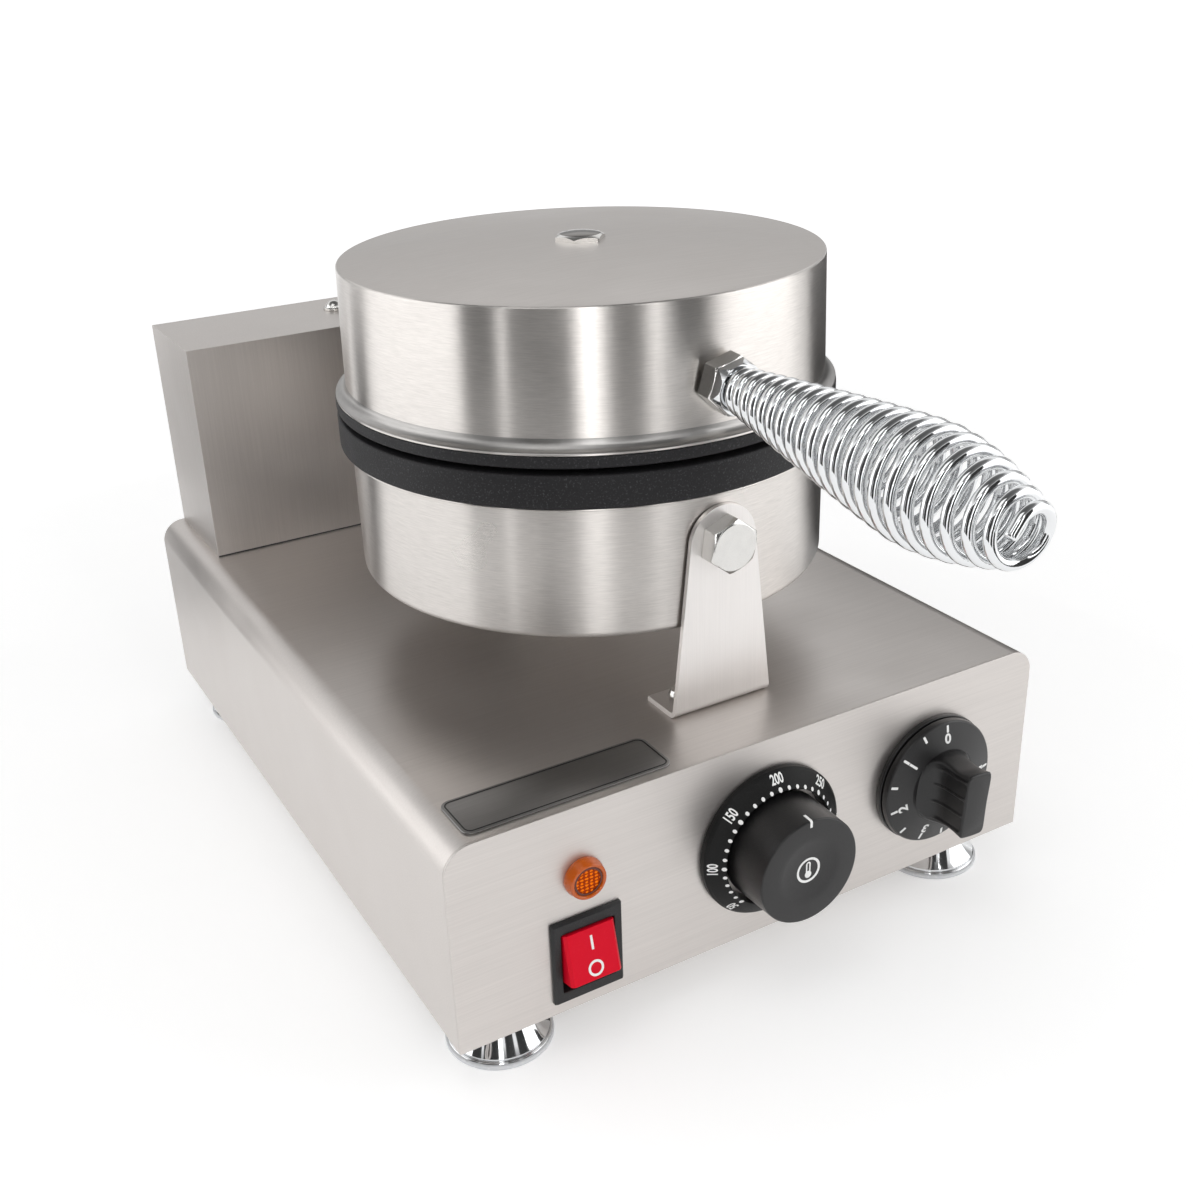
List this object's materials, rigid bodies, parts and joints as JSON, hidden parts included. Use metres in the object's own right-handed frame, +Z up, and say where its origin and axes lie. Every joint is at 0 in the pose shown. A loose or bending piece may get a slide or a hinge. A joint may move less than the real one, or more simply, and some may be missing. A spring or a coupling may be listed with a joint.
{
  "type": "thin waffle maker",
  "caption": "Countertop waffle maker: sheet base with dials and a rocker switch, round lower drum, hinged round lid with a coil handle.",
  "frame": {"origin": "on the floor under the middle of the whole length, midway between the sides", "axes": "+Z up, +Y to the back, front panel and handle towards -Y, +X to the right as the cook sees it"},
  "size_m": [0.27, 0.4866, 0.2753],
  "materials": {
    "brushed_sheet": "brushed stainless steel sheet",
    "brushed_drum": "stainless steel brushed around the axis",
    "bracket_steel": "brushed stainless steel",
    "cast_plate": "charcoal non-stick coating with fine speckle",
    "bright_chrome": "polished chrome",
    "zinc_steel": "bright plated steel",
    "ground_steel": "ground steel",
    "frame_steel": "satin steel",
    "bush_bronze": "sintered bronze",
    "heater_sheath": "dull heat-tinted sheath",
    "ceramic_wool": "white ceramic wool",
    "bulb_copper": "copper",
    "knob_black": "satin black with white marks",
    "body_plastic": "dull black",
    "switch_black": "satin black",
    "rocker_red": "translucent red with white marks",
    "lamp_amber": "translucent amber",
    "terminal_ceramic": "glazed white",
    "badge_grey": "satin dark grey, bare",
    "pad_pale": "pale translucent"
  },
  "bodies": {
    "base": {"base_shell": "brushed_sheet", "front_panel": "brushed_sheet", "rear_panel": "brushed_sheet", "bottom_plate": "brushed_sheet", "feet": "bright_chrome", "foot_pads": "pad_pale", "underside_screws": "zinc_steel", "cover_screws": "zinc_steel", "base_top_screws": "zinc_steel", "lower_drum": "brushed_drum", "lower_plate": "cast_plate", "lower_heater": "heater_sheath", "lower_insulation": "ceramic_wool", "lower_tie": "zinc_steel", "front_bracket": "bracket_steel", "rear_bracket": "bracket_steel", "bracket_bolts": "zinc_steel", "bracket_nuts": "zinc_steel", "drum_conduit": "zinc_steel", "hinge_housing": "brushed_sheet", "housing_back": "brushed_sheet", "hinge_frame": "frame_steel", "dome_screws": "zinc_steel", "hinge_shaft": "ground_steel", "shaft_clips": "ground_steel", "rest_stop": "ground_steel", "open_stop": "ground_steel", "thermostat_ring": "knob_black", "thermostat_body": "body_plastic", "thermostat_bulb": "bulb_copper", "timer_ring": "knob_black", "timer_body": "body_plastic", "lamp_lens": "lamp_amber", "lamp_body": "lamp_amber", "switch_frame": "switch_black", "terminal_block": "terminal_ceramic", "cable_gland": "body_plastic", "badge_plate": "badge_grey"},
    "lid": {"lid_shell": "brushed_drum", "upper_plate": "cast_plate", "upper_heater": "heater_sheath", "upper_insulation": "ceramic_wool", "lid_stud": "zinc_steel", "top_nut": "zinc_steel", "lid_arms": "frame_steel", "arm_bolts": "zinc_steel", "hinge_bushes": "bush_bronze", "handle_rod": "bright_chrome", "handle_lock_nut": "zinc_steel", "handle_nut": "zinc_steel", "handle_collar": "bright_chrome", "handle_coil": "bright_chrome"},
    "thermostat_dial": {"thermostat_knob": "knob_black", "thermostat_spindle": "ground_steel"},
    "timer_dial": {"timer_knob": "knob_black", "timer_spindle": "ground_steel"},
    "power_rocker": {"rocker": "rocker_red"}
  },
  "joints": [
    {"name": "lid_hinge", "type": "hinge", "parent": "base", "child": "lid", "pos_m": [0, 0.18792, 0.1865], "axis": [-1, 0, 0], "range_deg": [0, 100]},
    {"name": "thermostat_turn", "type": "hinge", "parent": "base", "child": "thermostat_dial", "pos_m": [0, -0.12558, 0.0627], "axis": [0, 1, 0], "range_deg": [-137, 91.5]},
    {"name": "timer_turn", "type": "hinge", "parent": "base", "child": "timer_dial", "pos_m": [0.082, -0.12558, 0.0627], "axis": [0, 1, 0], "range_deg": [0, 274]},
    {"name": "rocker_tilt", "type": "hinge", "parent": "base", "child": "power_rocker", "pos_m": [-0.082, -0.11958, 0.0434], "axis": [1, 0, 0], "range_deg": [0, 28]}
  ]
}
